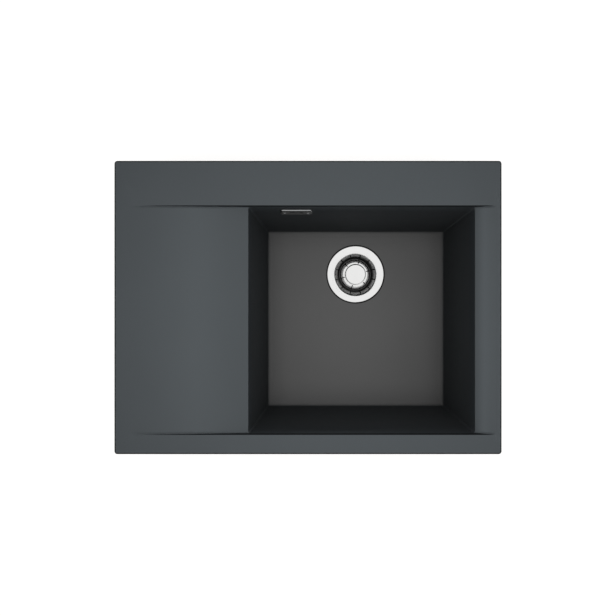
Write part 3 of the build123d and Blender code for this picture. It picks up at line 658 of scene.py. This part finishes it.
# rib profile: a cosine pressed flat by a hyperbolic tangent, so crests are broad and roots round
swell = np.cos(2 * math.pi * (along - hose["ribShift"])) + hose["ribWidth"]
swell = np.tanh(hose["ribHardness"] * swell)
swell = (swell - swell.min()) / (swell.max() - swell.min())
swell = swell * np.clip(np.minimum(along, ribCount - along) * hose["ribFade"], 0, 1)
ribRadius = hose["root"] + (hose["crest"] - hose["root"]) * swell
ribs = np.stack([ribsStart + along * hose["pitch"], ribRadius], axis=1)
collarTop = roundedLine(
    [
        (0.0, hose["bore"]),
        (0.0, hose["collar"]),
        (hose["collarLength"], hose["collar"]),
        (hose["collarLength"], hose["root"]),
        (ribsStart, hose["root"]),
    ],
    hose["collarRounds"],
    steps=4,
)
collarEnd = collarTop[::-1] * (-1, 1) + (hoseRun, 0)
boreBack = np.linspace(hoseRun, 0, hose["boreRows"])[1:-1]
boreBack = np.stack([boreBack, np.full_like(boreBack, hose["bore"])], axis=1)
line = np.concatenate([collarTop[:-1], ribs, collarEnd[1:], boreBack])
grid = alongHose(*np.broadcast_arrays(line[:, :1], line[:, 1:], circle(hose["sides"])))
shellPiece("ribbedHose", [(grid, True)], greyPlastic, "sink", "overflow_hose", sharp=60.0)

# union nuts: a grip wave round the nut that dies out at both chamfered ends
nut = {
    "body": 0.0165,
    "back": -0.010,  # along the hose from the spigot's mouth
    "front": 0.008,
    "inside": 0.0053,
    "bore": 0.01305,
    "mouth": 0.0002,  # depth of the last row inside the bore's open end
    "eye": 0.0113,
    "rounds": (0.0007, 0.0009, 0.0004, 0.0002, 0.0002),
    "seat": 0.003,  # from the hose's mouth to the spigot's
    "grip": 0.001,
    "gripCount": 12,
    "gripShare": 0.60,  # cosine at a grip's edge
    "gripHardness": 16,
    "gripEnds": (0.0012, 0.0014),  # where the extra rows start, from the back and from the front
    "gripFade": (0.0022, 0.0026),  # a grip dies out over these at the two ends
    "gripRows": 9,
    "outerSlack": 0.0001,  # rows this near the nut's outer face carry the grips
    "sides": 240,
}
line = roundedLine(
    [
        (nut["back"], nut["bore"]),
        (nut["back"], nut["body"]),
        (nut["front"], nut["body"]),
        (nut["front"], nut["eye"]),
        (nut["inside"], nut["eye"]),
        (nut["inside"], nut["bore"]),
        (nut["back"] + nut["mouth"], nut["bore"]),
    ],
    nut["rounds"],
    steps=5,
)
gripBack, gripFront = nut["back"] + nut["gripEnds"][0], nut["front"] - nut["gripEnds"][1]
middle = np.linspace(gripBack, gripFront, nut["gripRows"])
middle = np.stack([middle, np.full_like(middle, nut["body"])], axis=1)
line = np.concatenate([line[:6], middle, line[6:]])
turn = circle(nut["sides"])
lengthwise = line[:, :1] + 0 * turn
# radius = body + grip x an S curve of the cosine of twelve times the angle, on the outer rows alone
fade = faded(line[:, :1], nut["back"], nut["front"], nut["gripFade"])
outer = (line[:, 1:] > nut["body"] - nut["outerSlack"]) * fade ** 0.5
grips = 1 / (1 + np.exp(-nut["gripHardness"] * (np.cos(nut["gripCount"] * turn) - nut["gripShare"])))
radius = line[:, 1:] + outer * nut["grip"] * grips
upperMouth = hoseTop + upright * nut["seat"]
lowerMouth = np.array([*wasteFloor[:2], hoseLevel]) + inletWay * (hose["endReach"] - nut["seat"])
upperNut = turned(radius, -line[:, :1], upperMouth, turn)
spoke = hoseSquare * np.cos(turn)[..., None] + upright * np.sin(turn)[..., None]
lowerNut = lowerMouth + inletWay * lengthwise[..., None] + spoke * radius[..., None]
shellPiece("upperNut", [(upperNut, True)], whitePlastic, "sink", "hose_nut_upper")
shellPiece("lowerNut", [(lowerNut, True)], whitePlastic, "sink", "hose_nut_lower")

# a coarse pipe thread on the waste's outlet
outlet = {
    "radius": 0.0239,
    "sunk": 0.00005,  # the thread's root lies this far under the spigot's skin
    "hidden": 0.0006,  # and its two ends this far
    "depth": 0.0006,
    "pitch": 0.00231,
    "hardness": 2.2,
    "from": 0.0016,  # above the outlet's mouth
    "to": 0.0225,
    "perTurn": 8,
    "sides": 96,
}
turn = circle(outlet["sides"])
rise = np.arange(outlet["from"], outlet["to"], outlet["pitch"] / outlet["perTurn"])[:, None]
# the cosine of turns of height less the angle, pressed flat by a hyperbolic tangent
wave = np.tanh(outlet["hardness"] * np.cos(2 * math.pi * rise / outlet["pitch"] - turn))
wave = 0.5 + 0.5 * wave / math.tanh(outlet["hardness"])
fade = faded(rise, outlet["from"], outlet["to"], (outlet["pitch"], outlet["pitch"]))
crest = outlet["radius"] - outlet["sunk"] + outlet["depth"] * wave * fade
hidden = 0 * turn + outlet["radius"] - outlet["hidden"]
radius = np.concatenate([hidden, crest, hidden])
levels = np.concatenate([rise[:1], rise, rise[-1:]])
grid = turned(radius, levels, (wasteFloor[0], wasteFloor[1], objectFoot), turn)
shellPiece("outletThread", [(grid, True)], whitePlastic, "sink", sharp=60.0)

# overflow cover: a pressed pan with a rolled edge, flat from there to its slot, hollow at the back
cover = {
    "length": 0.056,
    "height": 0.027,
    "corner": 0.006,
    "thick": 0.0022,
    "skin": 0.001,
    "rollIn": 0.0032,  # the rolled edge reaches this far over the face
    "rollUp": 0.0021,
    "rollSteps": 12,
    "flatFrom": 0.0004,  # past the rolled edge
    "slotLength": 0.024,
    "slotHeight": 0.008,
    "slotRound": 0.0003,
    "slotSteps": 5,
    "lean": 8.0,  # degrees, of the bowl's wall
    "perCorner": 24,
}
chrome = {
    "pale": (0.37, 0.375, 0.38),
    "grey": (0.32, 0.325, 0.33),
    "patch": 40.0,  # patches per metre
    "inside": (0.05, 0.05, 0.05),  # painted shade, in the slot and behind the face; these are rougher too
    "faceFrom": (0.0010, 0.00109),  # out from the middle of the sheet
    "rough": 0.10,
    "roughPatch": 90.0,
    "roughVaries": 0.07,
    "roughInside": 0.3,
    "skinPatch": 260.0,
    "skinDepth": 0.00002,
    "skinStrength": 0.3,
}
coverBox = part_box("overflow_cover")
lean = math.radians(cover["lean"])
look = Finish("chromeCover", Metallic=1.0)
spot = look.place((coverBox[0] + coverBox[1]) / 2)
x, y, z = look.parts(spot)
# painted shade in the slot and behind the face
inSlot = 1 - (z * math.sin(lean) - y * math.cos(lean)).smoothBetween(*chrome["faceFrom"])
for place, reach in ((x, cover["slotLength"] / 2), (z, cover["slotHeight"] / 2)):
    inSlot = inSlot * (1 - (place * place).smoothBetween(reach ** 2, (reach + cover["slotRound"]) ** 2))
shine = look.mix(look.noise(spot, chrome["patch"]), chrome["grey"], chrome["pale"])
rough = chrome["rough"] + look.noise(spot, chrome["roughPatch"]) * chrome["roughVaries"]
skin = look.noise(spot, chrome["skinPatch"])
chromeLook = look.feed(
    Base_Color=look.mix(inSlot, shine, chrome["inside"]),
    Roughness=rough + inSlot * chrome["roughInside"],
    Normal=look.bump(skin, chrome["skinDepth"], chrome["skinStrength"]),
)
wallUp = np.array([0.0, math.sin(lean), math.cos(lean)])
wallOut = np.array([0.0, -math.cos(lean), math.sin(lean)])
wallPoint = np.array([(coverBox[0].x + coverBox[1].x) / 2, coverBox[1].y, coverBox[0].z])
wallPoint += cover["height"] / 2 * np.array([0.0, -wallUp[1], wallUp[2]])


def onWall(across, up, out):
    # from the wall's own directions to the frame's
    across, up, out = (value[..., None] for value in np.broadcast_arrays(across, up, out))
    return wallPoint + across * np.array([1.0, 0.0, 0.0]) + up * wallUp + out * wallOut


def roundedBoxes(halfLength, halfHeight, radius, count):
    # quarter circles about the corners of a smaller rectangle, one row for each of the sizes given
    turn = (np.arange(4)[:, None] * math.pi / 2 + np.linspace(0, math.pi / 2, count)).ravel()
    side = np.repeat([[1, 1], [-1, 1], [-1, -1], [1, -1]], count, axis=0).T
    across = side[0] * (halfLength - radius)[:, None] + radius[:, None] * np.cos(turn)
    return across, side[1] * (halfHeight - radius)[:, None] + radius[:, None] * np.sin(turn)


# rolled edge: a quarter of an ellipse; the inner skin is the same one drawn smaller
turn = np.linspace(0, math.pi / 2, cover["rollSteps"])
rollIn = cover["rollIn"] * (1 - np.cos(turn))
rollUp = cover["thick"] + cover["rollUp"] * (np.sin(turn) - 1)
backIn = cover["rollIn"] - (cover["rollIn"] - cover["skin"]) * np.sin(turn)
backUp = cover["thick"] - cover["rollUp"] + (cover["rollUp"] - cover["skin"]) * np.cos(turn)
# slot: a quarter circle from the face down into it
turn = np.linspace(0, math.pi / 2, cover["slotSteps"])
slotIn = cover["slotRound"] * (1 - np.sin(turn))
slotDrop = cover["slotRound"] * (1 - np.cos(turn))
# rows run from the wall over the rolled edge to the slot, through it, and back behind the face
flatFrom = [cover["rollIn"] + cover["flatFrom"]]
inset = np.concatenate([[0], rollIn, flatFrom])
outset = np.concatenate([[2 * cover["slotRound"]], slotIn, [0, cover["slotRound"]]])
insetBack = np.concatenate([flatFrom, backIn, [cover["skin"]]])
front = [[0], rollUp, [cover["thick"]] * 2, cover["thick"] - slotDrop]
back = [[cover["thick"] - cover["skin"]] * 3, backUp, [0]]
heights = np.concatenate([*front, *back])


def coverRows(outer, slot):
    # half a size, or a corner's radius, on every row
    return np.concatenate([outer - inset, slot + outset, outer - insetBack])


lengths = coverRows(cover["length"] / 2, cover["slotLength"] / 2)
widths = coverRows(cover["height"] / 2, cover["slotHeight"] / 2)
rounds = coverRows(cover["corner"], cover["slotHeight"] / 2)
across, up = roundedBoxes(lengths, widths, rounds, cover["perCorner"])
grid = onWall(across, up, heights[:, None])
shellPiece("overflowCover", [(grid, True)], chromeLook, "sink", "overflow_cover")

# cover screws: a low domed head with a crossed recess
coverScrew = {
    "spacing": 0.041,
    "head": 0.0044,
    "edge": 0.00012,
    "dome": 0.0006,
    "sunk": 0.0001,  # how far the head's underside lies in the cover's face
    "shank": 0.0024,
    "length": 0.023,
    "crossWidth": 0.0004,
    "crossReach": 0.0021,
    "crossDepth": 0.0009,
    "crossHardness": 14000.0,
    "rings": 56,
    "sides": 96,
}
turn = circle(coverScrew["sides"])
ring = np.linspace(0, coverScrew["head"], coverScrew["rings"])[:, None]
# dome height falls with the square of the radius; the cross is two soft-edged bars within a soft disc
narrow = np.minimum(np.abs(ring * np.cos(turn)), np.abs(ring * np.sin(turn)))
cross = 1 / (1 + np.exp(coverScrew["crossHardness"] * (narrow - coverScrew["crossWidth"])))
cross = cross / (1 + np.exp(coverScrew["crossHardness"] * (ring - coverScrew["crossReach"])))
dome = coverScrew["dome"] * (1 - (ring / coverScrew["head"]) ** 2)
headRise = cover["thick"] + coverScrew["edge"] + dome - coverScrew["crossDepth"] * cross
under = cover["thick"] - coverScrew["sunk"]
foot = cover["thick"] - coverScrew["length"]
shankRise = np.array([[under], [under], [foot], [foot]])
shankRadius = np.array([[coverScrew["head"]], [coverScrew["shank"]], [coverScrew["shank"]], [0.0]])
rise = np.concatenate([headRise, shankRise + 0 * turn])
radius = np.concatenate([ring, shankRadius]) + 0 * turn
shells = [(onWall(shift + radius * np.cos(turn), radius * np.sin(turn), rise), False)
          for shift in (-coverScrew["spacing"] / 2, coverScrew["spacing"] / 2)]
shellPiece("coverScrews", shells, chromeLook, "sink", "overflow_screws", sharp=50.0)
print("pieces made")

# whatever isn't named here is zinc-plated
finishes = {
    "sink_body": compositeLook,
    "rim_seal": foamLook,
    "clip_inserts": brassLook,
    "bolt_insert": brassLook,
    "waste_flange": flangeSteel,
    "waste_bolt": basketSteel,
    "basket": basketSteel,
    "basket_stem": basketSteel,
    "basket_seal": blackRubber,
    "flange_gasket": blackRubber,
    "body_gasket": blackRubber,
    "overflow_gasket": blackRubber,
    "hose_seal_upper": blackRubber,
    "hose_seal_lower": blackRubber,
    "waste_body": whitePlastic,
    "waste_tail": whitePlastic,
    "overflow_head": whitePlastic,
}
sharpAngle = math.radians(32.0)  # edges flatter than this are shaded round


def smoothShell():
    # geometry nodes that join the loose triangles and shade across all but the sharp edges
    group = bpy.data.node_groups.new("smoothShell", "GeometryNodeTree")
    for way in ("INPUT", "OUTPUT"):
        group.interface.new_socket("Geometry", in_out=way, socket_type="NodeSocketGeometry")
    sheet = NodeSheet(group)
    loose = sheet.node("NodeGroupInput")
    sockets = {"Geometry": loose, "Distance": weldReach}
    shell = sheet.node("GeometryNodeMergeByDistance", {}, sockets, output="Geometry")
    angle = sheet.node("GeometryNodeInputMeshEdgeAngle", output="Unsigned Angle")
    sockets = {"A": angle, "B": sharpAngle}
    flatter = sheet.node("FunctionNodeCompare", {"operation": "LESS_THAN"}, sockets, output="Result")
    shell = sheet.node("GeometryNodeSetShadeSmooth", {}, {"Geometry": shell}, output="Geometry")
    sockets = {"Geometry": shell, "Shade Smooth": flatter}
    shell = sheet.node("GeometryNodeSetShadeSmooth", {"domain": "EDGE"}, sockets, output="Geometry")
    sheet.node("NodeGroupOutput", {}, {0: shell})
    return group


shellNodes = smoothShell()
for name, node in nodes.items():
    if node.hide_render:
        continue
    node.data.materials.clear()
    node.data.materials.append(finishes.get(name, zincLook))
    welded = node.modifiers.new("smoothShell", "NODES")
    welded.node_group = shellNodes
    evened = node.modifiers.new("evenNormals", "WEIGHTED_NORMAL")
    evened.keep_sharp = True
print("finishes set")

studio = {
    "floorSize": 14.0,
    "floorColour": 0.45,
    "floorRough": 0.9,
    "floorGloss": 0.1,
    "floorLift": 0.62,  # seen by the camera only, so the floor reads white and keeps its shadow
    "floorDrop": 0.0005,
    "sunStrength": 0.95,  # share of the light that comes straight down
    "sunColour": (1.02, 1.0, 0.97),
    "sunAngle": 40.0,
    "sunTilt": (0.8, 0.0, 0.0),  # degrees about the axes, so it comes from slightly in front
    "sunHeight": 2.0,
    "sideStrength": 0.3,  # level light that reaches only what stands upright, outside the bowl
    "sideAngle": 9.0,
    "sideTurns": (45, 135, 225, 315),
    "sideTilt": 89.5,
    "skyColour": (0.020, 0.025, 0.030),
    "cameraHeight": 1.457,  # above the rim's top
    "cameraBack": -0.00085,
    "sensorWidth": 36.0,
    "frameWidth": 1.0478,  # what the frame takes in at the rim's top
}
half = studio["floorSize"] / 2
level = objectFoot - studio["floorDrop"]
floorCorners = [(-half, -half, level), (half, -half, level), (half, half, level), (-half, half, level)]
look = Finish(
    "paleFloor",
    Base_Color=(*[studio["floorColour"]] * 3, 1.0),
    Roughness=studio["floorRough"],
    Specular_IOR_Level=studio["floorGloss"],
    Emission_Strength=1.0,
)
seen = look.node("ShaderNodeLightPath", output="Is Camera Ray")
floorLook = look.feed(Emission_Color=look.mix(seen, (0, 0, 0), [studio["floorLift"]] * 3))
mesh = bpy.data.meshes.new("floor")
mesh.from_pydata(floorCorners, [], [(0, 1, 2, 3)])
mesh.materials.append(floorLook)
floor = addObject("floor", mesh)

# the world is white to the camera, to mirrors and to glass, and only a dim sky to everything else
world = bpy.data.worlds.new("studio")
bpy.context.scene.world = world
world.use_nodes = True
sky = NodeSheet(world.node_tree)
dim = sky.tree.nodes["Background"]
sky.connect(dim.inputs["Color"], (*studio["skyColour"], 1))
white = sky.node("ShaderNodeBackground", {}, {"Color": (1, 1, 1, 1)})
seen = sky.node("ShaderNodeLightPath", output="Is Camera Ray")
for ray in ("Is Glossy Ray", "Is Transmission Ray"):
    seen = seen.larger(sky.node("ShaderNodeLightPath", output=ray))
both = sky.node("ShaderNodeMixShader", {}, {0: seen, 1: Wire(sky, dim.outputs[0]), 2: white})
sky.connect(sky.tree.nodes["World Output"].inputs["Surface"], both)


def sunLamp(name, strength, angle, tilt):
    lamp = bpy.data.lights.new(name, "SUN")
    lamp.energy = strength * math.pi
    lamp.color = studio["sunColour"]
    lamp.angle = math.radians(angle)
    sun = addObject(name, lamp)
    sun.location = (0, 0, studio["sunHeight"])
    sun.rotation_euler = [math.radians(turn) for turn in tilt]
    sun.visible_glossy = False  # metal mirrors the white studio, not the lamps


sunLamp("overheadLight", studio["sunStrength"], studio["sunAngle"], studio["sunTilt"])
for turn in studio["sideTurns"]:
    sunLamp("sideLight", studio["sideStrength"], studio["sideAngle"], (studio["sideTilt"], 0, turn))

lens = bpy.data.cameras.new("overheadCamera")
lens.sensor_width = studio["sensorWidth"]
lens.lens = lens.sensor_width * studio["cameraHeight"] / studio["frameWidth"]
camera = addObject("overheadCamera", lens)
camera.location = (0, studio["cameraBack"], rimTop + studio["cameraHeight"])
bpy.context.scene.camera = camera
bpy.context.scene.view_settings.view_transform = "Standard"
print("studio set")
